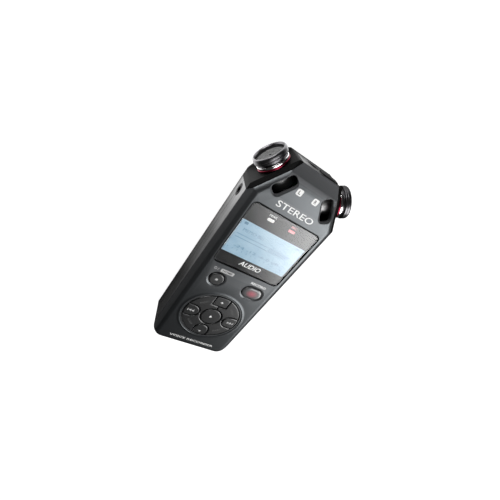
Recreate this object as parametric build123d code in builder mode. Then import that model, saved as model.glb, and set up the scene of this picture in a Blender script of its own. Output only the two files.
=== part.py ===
from build123d import *
from math import atan2, cos, degrees, radians, sin, tan
import os

os.makedirs("parts", exist_ok=True)

# Pocket voice recorder lying on its back. Millimetres, +Z out of the front face, +Y towards the
# microphones, X across. The origin is under the middle of the whole object, on its rear face.

# ---------------------------------------------------------------- case
half_width = 27.5
bottom_y = -70.2
top_y = 68.4
thickness = 26.0
seam_z = 11.0
cover_z = 22.0
wall = 1.8
floor = 2.2
plate_z = 24.0
cover_rim = 4.0
hollow_high_y = 59.0
boss_skirt = 0.4
boss_base = 3.4
hole_ease = 0.15
shoulder_z = cover_z + 0.4
shoulder_in = 3.5
shoulder_r = 4.0
bottom_stretch = 3.1
top_slope = 9.0
top_slope_r = 18.0
corner_r = 8.0
rear_r = 4.5
rear_end_r = 4.0
top_corner_r = 1.2
split_gap = 0.05
seam_groove = (0.35, 0.3)

# ---------------------------------------------------------------- microphones
mic_angle = 32.0
cut_start_y = 46.75
mic_z = 14.0
mic_origin = (20.11, 58.58)
mic_reach = 7.3
seat_top = 0.4
red_top = 1.4
silver_top = 2.7
neck_top = 3.9
neck_r = 7.6
grille_low = 4.9
seal_r = (8.2, 8.7, 8.5)
hood_r = 9.0
hood_bore_r = 7.4
hood_foot_r = 5.6
ring_ease = 0.2
hood_ease = 0.4
capsule_r = 4.9
capsule_low = -5.0
mount_thick = 2.0
mount_low = 3.0
mount_gap = 0.05
mount_wall = 1.5
barrel_gap = 0.2
barrel_r = 6.5
barrel_depth = 12.0
damper_r = 7.3
window_slot = (13.6, 55.4)
slot_length = 13.2
slot_width = 6.1
slot_corner = 2.2
rim_run = 0.9
rim_drop = 0.5

# ---------------------------------------------------------------- display
pane_half_x = 21.3
pane_low_y = 1.05
pane_high_y = 41.35
pane_gap = 0.7
pane_corner = 2.3
pane_thick = 1.3
lcd_half_x = 20.6
lcd_low_y = 8.45
lcd_high_y = 30.15
lcd_top_z = 23.9
lcd_glass = 1.5
lcd_light = 1.4
lcd_frame_t = 1.2
lamp_y = 36.3
lamp_x = (-8.0, 5.8)
lamp_size = (4.0, 1.6)
lamp_chip = (2.0, 1.25, 0.8)
lamp_clear = 1.0
lcd_border = 1.2
pane_chamfer = 0.2
frame_ledge = (12.0, 8.0, 0.6)
ribbon_width = 12.0
ribbon_thick = 0.2
ribbon_run = 4.0
ribbon_slot = (14.0, 3.2)

# ---------------------------------------------------------------- buttons and keypad
button_top = 26.35
home_top = 26.3
button_travel = 0.5
cap_round = 0.8
key_round = 0.6
dome_r = 2.4
dome_height = 0.4
dome_ring_r = 13.2
post_r = 3.2
flange_z = 22.9
flange_top = 23.9
flange_wide = 0.9
home_at = (-12.6, -10.7)
home_r = 4.4
home_hole_r = 4.95
record_at = (11.9, -10.7)
record_size = (12.8, 8.3)
record_gap = 0.55
record_lens_r = 2.9
pad_y = -39.4
pad_r = 17.8
pad_hole_r = 18.5
pad_ridge_r = (19.6, 19.9, 21.3)
pad_ridge_z = 26.3
pad_ridge_low = 25.3
pad_flange_r = 19.2
key_gap = 0.65
key_base = 21.6
key_top = 26.2
play_r = 6.4
lobe_half = 4.4
lobe_start = 8.8
square_start = 10.4
mat_z = 19.7
mat_top = 20.9

# ---------------------------------------------------------------- circuit board
board_z = 17.6
board_top = 18.8
board_half_x = 24.3
board_low_y = -66.0
board_high_y = 43.0
neck = (-7.0, 3.0, 65.5)
neck_overlap = 4.0
board_corner_r = 6.0
board_hole_r = 0.9
processor_at = (-6.0, 20.0)
processor_size = (10.0, 0.9)
small_chip_at = [(8.0, 22.0), (8.0, 15.0), (15.0, 20.0)]
small_chip_size = (4.0, 3.0, 0.8)
capacitor_at = [(6.0, 40.0), (11.5, 40.0), (17.0, 40.0)]
capacitor_size = (2.0, 4.5)

# ---------------------------------------------------------------- sockets
phone_y = 38.05
phone_z = 13.0
mic_in_x = -2.5
mic_in_z = 13.6
ferrule_r = 3.4
plug_r = 1.8
plug_depth = 13.0
jack_width = 8.2
jack_height = 7.6
socket_clearance = 0.1
usb_surround = 1.2
usb_surround_r = 0.8
usb_depth = 6.0
usb_shell = 0.35
usb_tongue = (2.4, 0.6, 0.4)
usb_set_back = 0.6
ferrule_length = 1.9
usb_y = 18.5
usb_z = 15.9
usb_size = (7.6, 2.9)
card_y = 2.5
card_z = 16.4
card_size = (15.0, 11.0, 1.0)
door_low_y = -6.0
door_high_y = 11.0
door_low_z = 13.2
door_high_z = 19.6
door_thick = 1.5
door_pin_r = 0.5
door_pin_x = 26.4
door_gap = 0.3
pin_over = 1.2
door_end_gap = 0.7
door_notch = (1.6, 0.7)
card_set_back = 0.5
card_insert = 1.6
card_shell = (2.0, 1.2, 0.2)

# ---------------------------------------------------------------- battery bay
cell_r = 7.25
cell_length = 50.5
cell_x = 8.2
cell_z = 9.6
cell_low_y = -62.6
cell_button = (2.7, 1.2)
hatch_half_x = 17.2
hatch_high_y = -9.0
hatch_thick = 1.5
hatch_gap = 0.2
bay_lip = 5.0
tongue_lip = 6.0
grip_slot = (14.0, 0.7, 1.5, 5)
grip_y = 9.0
grip_depth = 0.5
tongue_low_z = 1.0
tongue_half_x = 18.3
end_lip_top = 9.8
rib_x = 17.7
rib_thick = 1.2
tray_z = 16.95
tray_thick = 0.5
contact_size = (11.0, 10.0)
contact_thick = 0.4
spring_length = 3.6
spring_wire = 0.25
spring_pitch = 1.05
spring_r = 3.8

# ---------------------------------------------------------------- fixings, speaker, tripod socket
boss_at = [(-22.6, -60.5), (22.6, -60.5), (-22.6, 3.4), (22.6, 35.0)]
boss_r = 2.6
screw_r = 0.95
screw_head_r = 1.8
screw_head_z = 1.2
screw_head_top = 3.0
screw_length = 12.0
screw_cross = (2.4, 0.5, 0.8)
board_screw_r = 0.8
board_screw_head = (1.5, 0.8)
board_screw_length = 3.2
board_screw_cross = (2.0, 0.4, 0.4)
speaker_at = (9.0, 24.0)
speaker_r = 9.0
speaker_collar = 1.4
speaker_flange = 1.6
speaker_magnet = (5.6, 2.2)
speaker_cone = (7.8, 0.8, 30)
speaker_slot = (12.0, 1.2, 2.6, 5)
tripod_at = (0.0, 2.0)
tripod_r = 5.0
tripod_bore_r = 2.55
tripod_depth = 7.5
tripod_wall = 1.6

cut_normal = (cos(radians(mic_angle)), sin(radians(mic_angle)))
cut_run_x = (top_y - cut_start_y) * tan(radians(mic_angle))


def finish(piece, name):
    """Label a finished sub-part and write it to its own STEP file."""
    piece.part.label = name
    export_step(piece.part, f"parts/{name}.step")


def outline_points(inset):
    """Corners of the case in plan, from the bottom left round to the top left."""
    top_x = half_width - cut_run_x
    slide = inset * tan(radians((90 - mic_angle) / 2))
    creep = inset * tan(radians(mic_angle / 2))
    side = half_width - inset
    corner_x = top_x - slide
    return [
        (-side, bottom_y + inset),
        (side, bottom_y + inset),
        (side, cut_start_y - creep),
        (corner_x, top_y - inset),
        (-corner_x, top_y - inset),
        (-side, cut_start_y - creep),
    ]


def plan(inset, stretch=0.0):
    """The case outline in plan, moved in by an inset, its bottom end moved out by a stretch."""
    corners = outline_points(inset)
    ends = [(x, y - stretch) for x, y in corners[:2]]
    with BuildSketch(mode=Mode.PRIVATE) as outline:
        with BuildLine():
            Polyline(*ends, *corners[2:], close=True)
        make_face()
        fillet(outline.vertices().sort_by(Axis.Y)[:2], corner_r - inset)
        fillet(outline.vertices().sort_by(Axis.Y)[-2:], top_corner_r)
    return outline.sketch


def case_form(inset, low):
    """The outer shape of the whole case, or the same shape moved in to make a cavity."""
    rise = thickness - shoulder_z
    with BuildPart() as form:
        with BuildSketch():
            add(plan(inset, bottom_stretch))
        extrude(amount=shoulder_z)
        with BuildSketch(Plane.XY.offset(shoulder_z)):
            add(plan(inset, bottom_stretch))
        extrude(amount=rise, taper=degrees(atan2(shoulder_in, rise)))
        rim = form.faces().sort_by(Axis.Z)[-1].edges()
        fillet(rim, shoulder_r)
        with BuildSketch():
            add(plan(inset))
        extrude(amount=thickness, mode=Mode.INTERSECT)
        side = half_width - inset
        with BuildSketch(Plane.XZ.offset(-2 * top_y)):
            with BuildLine():
                Polyline(
                    (-side, low), (side, low), (side, thickness), (-side, thickness), close=True
                )
            make_face()
            fillet(vertices().group_by(Axis.Y)[0], rear_r - inset)
        extrude(amount=4 * top_y, mode=Mode.INTERSECT)
        near = bottom_y + inset
        far = top_y - inset
        with BuildSketch(Plane.YZ.offset(-2 * half_width)):
            with BuildLine():
                Polyline(
                    (near, low), (far, low), (far, shoulder_z), (far - top_slope, thickness),
                    (near, thickness), close=True,
                )
            make_face()
            fillet(vertices().group_by(Axis.Y)[0], rear_end_r - inset)
            fillet(vertices().group_by(Axis.Y)[-1].sort_by(Axis.X)[-1], top_slope_r)
        extrude(amount=4 * half_width, mode=Mode.INTERSECT)
    return form.part


def groove_ring():
    """Plan of the shallow groove that runs round the case beside a seam."""
    with BuildSketch(mode=Mode.PRIVATE) as ring:
        add(plan(-seam_groove[0]))
        add(plan(seam_groove[0]), mode=Mode.SUBTRACT)
    return ring.sketch


def mic_plane(side):
    """Plane whose local X is a radius and local Y the axis of one microphone, pointing out."""
    return Plane(
        origin=(side * mic_origin[0], mic_origin[1], mic_z),
        x_dir=(0, 0, 1),
        z_dir=(-cut_normal[1], side * cut_normal[0], 0),
    )


def face_plane(side, out=0.0):
    """Plane across one microphone axis, a distance out from the corner face."""
    axis = (side * cut_normal[0], cut_normal[1], 0)
    base = mic_plane(side).origin
    spot = base + Vector(*axis) * out
    return Plane(origin=spot, x_dir=(0, 0, 1), z_dir=axis)


def slot_locations():
    """Where the two microphone slots lie on the front face, and how far each is turned."""
    turn = 90 - mic_angle
    return [
        Location((-window_slot[0], window_slot[1], 0), (0, 0, turn)),
        Location((window_slot[0], window_slot[1], 0), (0, 0, -turn)),
    ]


outer_form = case_form(0, 0)
inner_form = case_form(wall, floor)
recess = -mount_thick - mount_gap


def corner_wall(side):
    """The case wall behind one microphone mount, bored for the microphone's barrel."""
    with BuildPart() as slab:
        add(outer_form)
        split(bisect_by=face_plane(side, recess), keep=Keep.BOTTOM)
        split(bisect_by=face_plane(side, recess - mount_wall), keep=Keep.TOP)
        with BuildSketch(face_plane(side, -thickness)):
            Circle(barrel_r + barrel_gap)
        extrude(amount=2 * thickness, mode=Mode.SUBTRACT)
    return slab.part

# ---------------------------------------------------------------- shells
with BuildPart() as front_cover:
    add(outer_form)
    split(bisect_by=Plane.XY.offset(cover_z), keep=Keep.TOP)
    with BuildSketch(Plane.XY.offset(cover_z)):
        with BuildLine():
            Polyline(*outline_points(cover_rim), close=True)
        make_face()
        fillet(vertices().sort_by(Axis.Y)[:2], corner_r - cover_rim)
        with Locations((0, hollow_high_y)):
            Rectangle(
                2 * half_width, 2 * top_y, align=(Align.CENTER, Align.MAX), mode=Mode.INTERSECT
            )
    extrude(amount=plate_z - cover_z, mode=Mode.SUBTRACT)
    for side in (-1, 1):
        with BuildSketch(face_plane(side, recess)):
            Rectangle(2 * thickness, 2 * top_y)
        extrude(amount=thickness, mode=Mode.SUBTRACT)
    ridge_mid = pad_ridge_r[2] - (pad_ridge_r[2] - pad_ridge_r[1]) / 2
    ridge_rise = (pad_ridge_z - thickness) / 4
    with BuildSketch(Plane(origin=(0, pad_y, 0), x_dir=(0, 1, 0), z_dir=(1, 0, 0))):
        with BuildLine():
            Polyline(
                (pad_hole_r, plate_z), (pad_hole_r, pad_ridge_low),
                (pad_ridge_r[0], pad_ridge_z), (pad_ridge_r[1], pad_ridge_z),
            )
            ThreePointArc(
                (pad_ridge_r[1], pad_ridge_z), (ridge_mid, thickness + ridge_rise),
                (pad_ridge_r[2], thickness),
            )
            Polyline(
                (pad_ridge_r[2], thickness), (pad_ridge_r[2], plate_z), (pad_hole_r, plate_z)
            )
        make_face()
    revolve(axis=Axis((0, pad_y, 0), (0, 0, 1)))
    with BuildSketch(Plane.XY.offset(cover_z)):
        with Locations(*slot_locations()):
            RectangleRounded(slot_length, slot_width, slot_corner)
    extrude(amount=thickness, mode=Mode.SUBTRACT)
    with BuildSketch(Plane.XY.offset(thickness)):
        with Locations(*slot_locations()):
            RectangleRounded(
                slot_length + 2 * rim_run, slot_width + 2 * rim_run, slot_corner + rim_run
            )
        with Locations(home_at):
            Circle(home_hole_r + rim_run)
        with Locations(record_at):
            SlotOverall(
                record_size[0] + 2 * (record_gap + rim_run),
                record_size[1] + 2 * (record_gap + rim_run),
            )
    extrude(amount=-rim_drop, taper=degrees(atan2(rim_run, rim_drop)), mode=Mode.SUBTRACT)
    pane_mid_y = (pane_low_y + pane_high_y) / 2
    pane_span = pane_high_y - pane_low_y
    with BuildSketch(Plane.XY.offset(thickness - pane_thick)):
        with Locations((0, pane_mid_y)):
            RectangleRounded(
                2 * (pane_half_x + pane_gap), pane_span + 2 * pane_gap, pane_corner + pane_gap
            )
    extrude(amount=pane_thick, mode=Mode.SUBTRACT)
    with BuildSketch(Plane.XY.offset(cover_z)):
        with Locations((0, (lcd_low_y + lcd_high_y) / 2)):
            Rectangle(
                2 * lcd_half_x + lcd_border / 2, lcd_high_y - lcd_low_y + lcd_border / 2
            )
        with Locations(*[(x, lamp_y) for x in lamp_x]):
            Rectangle(lamp_size[0] + 2 * hole_ease, lamp_size[1] + 2 * hole_ease)
        with Locations(home_at):
            Circle(home_hole_r)
        with Locations(record_at):
            SlotOverall(record_size[0] + 2 * record_gap, record_size[1] + 2 * record_gap)
        with Locations((0, pad_y)):
            Circle(pad_hole_r)
    extrude(amount=thickness, mode=Mode.SUBTRACT)
    with BuildSketch(Plane.XY.offset(cover_z)):
        add(groove_ring())
    extrude(amount=seam_groove[1], mode=Mode.SUBTRACT)
finish(front_cover, "front_cover")

with BuildPart() as upper_case:
    add(outer_form)
    add(inner_form, mode=Mode.SUBTRACT)
    for side in (-1, 1):
        add(corner_wall(side))
    split(bisect_by=Plane.XY.offset(cover_z - split_gap), keep=Keep.BOTTOM)
    split(bisect_by=Plane.XY.offset(seam_z), keep=Keep.TOP)
    with BuildSketch(Plane.XY.offset(seam_z)):
        with Locations(*boss_at):
            Circle(boss_r)
        with Locations(*[(x + boss_r * x / abs(x) / 2, y) for x, y in boss_at]):
            Rectangle(2 * boss_r, boss_r)
    extrude(amount=board_z - split_gap - seam_z)
    with BuildSketch(Plane.XY.offset(seam_z)):
        with Locations(*boss_at):
            Circle(screw_r)
    extrude(amount=thickness, mode=Mode.SUBTRACT)
    with BuildSketch(Plane.YZ.offset(-half_width)):
        with Locations((phone_y, phone_z)):
            Circle(ferrule_r + socket_clearance)
    extrude(amount=2 * wall, mode=Mode.SUBTRACT)
    with BuildSketch(Plane.XZ.offset(-top_y)):
        with Locations((mic_in_x, mic_in_z)):
            Circle(ferrule_r + socket_clearance)
    extrude(amount=2 * wall, mode=Mode.SUBTRACT)
    with BuildSketch(Plane.YZ.offset(half_width)):
        with Locations((usb_y, usb_z)):
            RectangleRounded(
                usb_size[0] + usb_surround, usb_size[1] + usb_surround, usb_surround_r
            )
        door_mid_y = (door_low_y + door_high_y) / 2 - door_end_gap
        with Locations((door_mid_y, (door_low_z + door_high_z) / 2)):
            Rectangle(
                door_high_y - door_low_y + 2 * (door_end_gap + door_gap),
                door_high_z - door_low_z + 2 * door_gap,
            )
    extrude(amount=-2 * wall, mode=Mode.SUBTRACT)
    with BuildSketch(Plane.XY.offset(door_low_z - pin_over)):
        with Locations((door_pin_x, door_low_y)):
            Circle(door_pin_r)
    extrude(amount=door_high_z - door_low_z + 2 * pin_over, mode=Mode.SUBTRACT)
    for side in (-1, 1):
        with BuildSketch(face_plane(side, recess)):
            Rectangle(2 * (cover_z - mic_z), 2 * top_y)
        extrude(amount=thickness, mode=Mode.SUBTRACT)
    with BuildSketch(Plane.XY.offset(seam_z)):
        add(groove_ring())
    extrude(amount=seam_groove[1], mode=Mode.SUBTRACT)
finish(upper_case, "upper_case")

with BuildPart() as lower_case:
    add(outer_form)
    add(inner_form, mode=Mode.SUBTRACT)
    for side in (-1, 1):
        add(corner_wall(side))
    split(bisect_by=Plane.XY.offset(seam_z - split_gap), keep=Keep.BOTTOM)
    with BuildSketch(Plane.XY.offset(floor)):
        with Locations(*boss_at):
            Circle(boss_r + boss_skirt)
        with Locations(tripod_at):
            Circle(tripod_r + tripod_wall + boss_skirt)
        with Locations(speaker_at):
            Circle(speaker_r + speaker_collar)
            Circle(speaker_r + hole_ease, mode=Mode.SUBTRACT)
    extrude(amount=boss_base)
    with BuildSketch(Plane.XY.offset(floor)):
        with Locations(*boss_at):
            Circle(boss_r)
        with Locations(tripod_at):
            Circle(tripod_r + tripod_wall)
    extrude(amount=seam_z - split_gap - floor)
    bay_mid_y = (hatch_high_y + bottom_y + 2 * wall) / 2
    bay_span = hatch_high_y - bottom_y - 2 * wall
    with BuildSketch(Plane.XY.offset(floor - 0.4)):
        with Locations((-rib_x - rib_thick / 2, bay_mid_y), (rib_x + rib_thick / 2, bay_mid_y)):
            Rectangle(rib_thick, bay_span)
        with Locations((0, hatch_high_y + 0.4), (0, bottom_y + wall + 0.9)):
            Rectangle(2 * rib_x, rib_thick)
    extrude(amount=tray_z - floor + 0.4)
    with BuildSketch():
        with Locations((0, (bottom_y + hatch_high_y) / 2)):
            Rectangle(2 * (hatch_half_x + hatch_gap), hatch_high_y - bottom_y + 2 * hatch_gap)
    extrude(amount=hatch_thick + hatch_gap, mode=Mode.SUBTRACT)
    with BuildSketch():
        with Locations((0, (bottom_y + bay_lip + hatch_high_y - rib_thick) / 2)):
            Rectangle(2 * hatch_half_x, hatch_high_y - bottom_y - bay_lip - rib_thick)
    extrude(amount=floor + 0.1, mode=Mode.SUBTRACT)
    with BuildSketch(Plane.XY.offset(tongue_low_z - hole_ease)):
        with Locations((0, (bottom_y + hatch_high_y) / 2)):
            Rectangle(2 * (tongue_half_x + hole_ease), hatch_high_y - bottom_y + 2 * hatch_gap)
    extrude(amount=hatch_thick - tongue_low_z + 2 * hole_ease, mode=Mode.SUBTRACT)
    with BuildSketch():
        with Locations((0, bottom_y)):
            Rectangle(2 * (hatch_half_x + hatch_gap), 2 * wall + 2 * hatch_gap)
    extrude(amount=end_lip_top + hatch_gap, mode=Mode.SUBTRACT)
    with BuildSketch():
        with Locations(*boss_at):
            Circle(screw_r + hole_ease)
        with Locations(tripod_at):
            Circle(tripod_r)
    extrude(amount=seam_z, mode=Mode.SUBTRACT)
    with BuildSketch():
        with Locations(*boss_at):
            Circle(screw_head_r + hatch_gap)
    extrude(amount=screw_head_top, mode=Mode.SUBTRACT)
    with BuildSketch():
        with Locations(speaker_at):
            with GridLocations(0, speaker_slot[2], 1, speaker_slot[3]):
                SlotOverall(speaker_slot[0], speaker_slot[1])
    extrude(amount=floor, mode=Mode.SUBTRACT)
    with BuildSketch(Plane.YZ.offset(-half_width)):
        with Locations((phone_y, phone_z)):
            Circle(ferrule_r + socket_clearance)
    extrude(amount=2 * wall, mode=Mode.SUBTRACT)
    with BuildSketch(Plane.XZ.offset(-top_y)):
        with Locations((mic_in_x, mic_in_z)):
            Circle(ferrule_r + socket_clearance)
    extrude(amount=2 * wall, mode=Mode.SUBTRACT)
    for side in (-1, 1):
        with BuildSketch(face_plane(side, recess)):
            Rectangle(2 * (mic_z - mount_low), 2 * top_y)
        extrude(amount=thickness, mode=Mode.SUBTRACT)
finish(lower_case, "lower_case")

with BuildPart() as battery_cover:
    with BuildSketch():
        with Locations((0, (bottom_y + hatch_high_y) / 2)):
            Rectangle(2 * hatch_half_x, hatch_high_y - bottom_y)
    extrude(amount=hatch_thick)
    with BuildSketch(Plane.XY.offset(tongue_low_z)):
        with Locations((0, (bottom_y + tongue_lip + hatch_high_y) / 2)):
            Rectangle(2 * tongue_half_x, hatch_high_y - bottom_y - tongue_lip)
    extrude(amount=hatch_thick - tongue_low_z)
    with BuildSketch():
        with Locations((0, bottom_y + wall / 2)):
            Rectangle(2 * hatch_half_x, wall)
    extrude(amount=end_lip_top)
    add(outer_form, mode=Mode.INTERSECT)
    with BuildSketch():
        with Locations((0, bottom_y + grip_y)):
            with GridLocations(0, grip_slot[2], 1, grip_slot[3]):
                SlotOverall(grip_slot[0], grip_slot[1])
    extrude(amount=grip_depth, mode=Mode.SUBTRACT)
finish(battery_cover, "battery_cover")


# ---------------------------------------------------------------- microphones
def turned(side, points):
    """A ring or cup turned about a microphone's axis from (radius, distance out) points."""
    plane = mic_plane(side)
    with BuildPart() as ring:
        with BuildSketch(plane):
            with BuildLine():
                Polyline(*points, close=True)
            make_face()
        revolve(axis=Axis(plane.origin, plane.y_dir))
    return ring


for side, hand in ((-1, "left"), (1, "right")):
    with BuildPart() as mic_mount:
        add(outer_form)
        split(bisect_by=face_plane(side, -mount_thick), keep=Keep.TOP)
        split(bisect_by=Plane.XY.offset(mount_low + split_gap), keep=Keep.TOP)
        with BuildSketch(face_plane(side, -thickness)):
            Circle(damper_r)
        extrude(amount=2 * thickness, mode=Mode.SUBTRACT)
    finish(mic_mount, f"mic_mount_{hand}")
    damper = turned(side, [
        (barrel_r, -mount_thick), (damper_r, -mount_thick), (damper_r, mount_gap),
        (seal_r[0], mount_gap), (seal_r[0], seat_top), (barrel_r, seat_top),
    ])
    finish(damper, f"mic_damper_{hand}")
    barrel = turned(side, [
        (0, -barrel_depth), (barrel_r - hood_ease, -barrel_depth),
        (barrel_r, hood_ease - barrel_depth), (barrel_r, silver_top), (hood_foot_r, silver_top),
        (hood_foot_r, capsule_low), (0, capsule_low),
    ])
    finish(barrel, f"mic_barrel_{hand}")
    capsule = turned(side, [
        (0, capsule_low), (capsule_r, capsule_low), (capsule_r, red_top),
        (capsule_r - ring_ease, seat_top + red_top), (0, seat_top + red_top),
    ])
    finish(capsule, f"mic_capsule_{hand}")
    red_ring = turned(side, [
        (barrel_r, seat_top), (seal_r[1] - ring_ease, seat_top), (seal_r[1], seat_top + ring_ease),
        (seal_r[1], red_top - ring_ease), (seal_r[1] - ring_ease, red_top), (barrel_r, red_top),
    ])
    finish(red_ring, f"mic_red_ring_{hand}")
    silver_ring = turned(side, [
        (barrel_r, red_top), (seal_r[2] - ring_ease, red_top), (seal_r[2], red_top + ring_ease),
        (seal_r[2], silver_top - ring_ease), (seal_r[2] - ring_ease, silver_top),
        (barrel_r, silver_top),
    ])
    finish(silver_ring, f"mic_silver_ring_{hand}")
    hood = turned(side, [
        (hood_foot_r, silver_top), (neck_r, silver_top), (neck_r, neck_top),
        (hood_r - hood_ease, neck_top), (hood_r, neck_top + hood_ease),
        (hood_r, mic_reach - hood_ease), (hood_r - hood_ease, mic_reach),
        (hood_bore_r + 2 * hood_ease, mic_reach), (hood_bore_r, mic_reach - 2 * hood_ease),
        (hood_bore_r, grille_low), (hood_foot_r, grille_low),
    ])
    finish(hood, f"mic_hood_{hand}")
    grille = turned(side, [
        (0, grille_low), (hood_bore_r, grille_low), (hood_bore_r, grille_low + hood_ease),
        (0, grille_low + hood_ease + ring_ease),
    ])
    finish(grille, f"mic_grille_{hand}")

# ---------------------------------------------------------------- display
with BuildPart() as display_window:
    with BuildSketch(Plane.XY.offset(thickness - pane_thick)):
        with Locations((0, pane_mid_y)):
            RectangleRounded(2 * pane_half_x, pane_span, pane_corner)
    extrude(amount=pane_thick)
    top_rim = display_window.faces().sort_by(Axis.Z)[-1].edges()
    chamfer(top_rim, pane_chamfer)
finish(display_window, "display_window")

lcd_mid_y = (lcd_low_y + lcd_high_y) / 2
lcd_span = lcd_high_y - lcd_low_y
with BuildPart() as lcd_panel:
    with BuildSketch(Plane.XY.offset(lcd_top_z - lcd_glass)):
        with Locations((0, lcd_mid_y)):
            Rectangle(2 * lcd_half_x + lcd_border, lcd_span + lcd_border)
    extrude(amount=lcd_glass)
finish(lcd_panel, "lcd_panel")

with BuildPart() as lcd_backlight:
    with BuildSketch(Plane.XY.offset(lcd_top_z - lcd_glass - lcd_light)):
        with Locations((0, lcd_mid_y)):
            Rectangle(2 * lcd_half_x + lcd_border, lcd_span + lcd_border)
    extrude(amount=lcd_light)
finish(lcd_backlight, "lcd_backlight")

with BuildPart() as lcd_frame:
    frame_x = 2 * lcd_half_x + lcd_border + 2 * lcd_frame_t
    frame_y = lcd_span + lcd_border + 2 * lcd_frame_t
    with BuildSketch(Plane.XY.offset(board_top)):
        with Locations((0, lcd_mid_y)):
            Rectangle(frame_x, frame_y)
            Rectangle(frame_x - 2 * lcd_frame_t, frame_y - 2 * lcd_frame_t, mode=Mode.SUBTRACT)
    extrude(amount=lcd_top_z - board_top)
    with BuildSketch(Plane.XY.offset(lcd_top_z - lcd_glass - lcd_light - frame_ledge[2])):
        with Locations((0, lcd_mid_y)):
            Rectangle(frame_x, frame_y)
            Rectangle(frame_x - frame_ledge[0], frame_y - frame_ledge[1], mode=Mode.SUBTRACT)
    extrude(amount=frame_ledge[2])
    with BuildSketch(Plane.XY.offset(board_top)):
        with Locations((0, lcd_low_y - lcd_border)):
            Rectangle(*ribbon_slot)
    extrude(amount=lcd_glass + lcd_light, mode=Mode.SUBTRACT)
finish(lcd_frame, "lcd_frame")

with BuildPart() as lcd_ribbon:
    bend_y = lcd_low_y - ribbon_run
    high_z = lcd_top_z - lcd_glass - lcd_light - frame_ledge[2] - 2 * split_gap
    rise_y = bend_y + ribbon_width * ribbon_thick
    with BuildSketch(Plane.YZ.offset(-ribbon_width / 2)):
        with BuildLine():
            Polyline(
                (bend_y - ribbon_run, board_top), (bend_y, board_top),
                (rise_y, high_z - ribbon_thick), (lcd_low_y + 2, high_z - ribbon_thick),
                (lcd_low_y + 2, high_z), (rise_y - 2 * split_gap, high_z),
                (bend_y - 2 * split_gap, board_top + ribbon_thick),
                (bend_y - ribbon_run, board_top + ribbon_thick), close=True,
            )
        make_face()
    extrude(amount=ribbon_width)
finish(lcd_ribbon, "lcd_ribbon")

with BuildPart() as light_guides:
    with BuildSketch(Plane.XY.offset(board_top + lamp_clear)):
        with Locations(*[(x, lamp_y) for x in lamp_x]):
            Rectangle(*lamp_size)
    extrude(amount=thickness - pane_thick - board_top - lamp_clear)
finish(light_guides, "light_guides")

with BuildPart() as indicator_lamps:
    with BuildSketch(Plane.XY.offset(board_top)):
        with Locations(*[(x, lamp_y) for x in lamp_x]):
            Rectangle(lamp_chip[0], lamp_chip[1])
    extrude(amount=lamp_chip[2])
finish(indicator_lamps, "indicator_lamps")

# ---------------------------------------------------------------- buttons
with BuildPart() as home_button:
    with BuildSketch(Plane.XY.offset(flange_z)):
        with Locations(home_at):
            Circle(home_hole_r + flange_wide)
    extrude(amount=flange_top - flange_z)
    with BuildSketch(Plane.XY.offset(flange_top)):
        with Locations(home_at):
            Circle(home_r)
    extrude(amount=home_top - flange_top)
    cap_rim = home_button.faces().sort_by(Axis.Z)[-1].edges()
    fillet(cap_rim, cap_round)
finish(home_button, "home_button")

with BuildPart() as record_button:
    with BuildSketch(Plane.XY.offset(flange_z)):
        with Locations(record_at):
            SlotOverall(
                record_size[0] + 2 * (record_gap + flange_wide),
                record_size[1] + 2 * (record_gap + flange_wide),
            )
    extrude(amount=flange_top - flange_z)
    with BuildSketch(Plane.XY.offset(flange_top)):
        with Locations(record_at):
            SlotOverall(*record_size)
    extrude(amount=button_top - flange_top)
    cap_rim = record_button.faces().sort_by(Axis.Z)[-1].edges()
    fillet(cap_rim, cap_round)
    with BuildSketch(Plane.XY.offset(flange_z)):
        with Locations(record_at):
            Circle(record_lens_r)
    extrude(amount=thickness, mode=Mode.SUBTRACT)
finish(record_button, "record_button")

with BuildPart() as record_lens:
    with BuildSketch(Plane.XY.offset(flange_z)):
        with Locations(record_at):
            Circle(record_lens_r)
    extrude(amount=button_top - flange_z - 0.1)
finish(record_lens, "record_lens")


def lobe(turn, grow):
    """Plan of one round-ended key that reaches the rim, turned about the keypad's middle."""
    with BuildSketch(mode=Mode.PRIVATE) as shape:
        with Locations((0, lobe_start + lobe_half)):
            Circle(lobe_half + grow)
        with Locations((0, pad_r)):
            Rectangle(2 * (lobe_half + grow), 2 * (pad_r - lobe_start - lobe_half))
    return shape.sketch.rotate(Axis.Z, turn)


def square_key(grow):
    """Plan of the upper key, which has a straight inner edge."""
    with BuildSketch(mode=Mode.PRIVATE) as shape:
        with Locations((0, pad_r)):
            Rectangle(2 * (lobe_half + grow), 2 * (pad_r - square_start + grow))
    return shape.sketch


def keycap(plan, name):
    """One keypad key: its plan carried up to the face, with a retaining lip under the cover."""
    with BuildPart() as key:
        with BuildSketch(Plane((0, pad_y, key_base))):
            add(plan)
            Circle(pad_flange_r, mode=Mode.INTERSECT)
        extrude(amount=flange_top - key_base)
        with BuildSketch(Plane((0, pad_y, flange_top))):
            add(plan)
            Circle(pad_r, mode=Mode.INTERSECT)
        extrude(amount=key_top - flange_top)
        crown = key.faces().sort_by(Axis.Z)[-1].edges()
        fillet(crown, key_round)
    finish(key, name)


lobe_keys = {"key_back": 90, "key_down": 180, "key_forward": -90}
keycap(square_key(0), "key_up")
for name, turn in lobe_keys.items():
    keycap(lobe(turn, 0), name)

with BuildSketch() as play_plan:
    Circle(play_r)
keycap(play_plan.sketch, "key_play")

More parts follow.
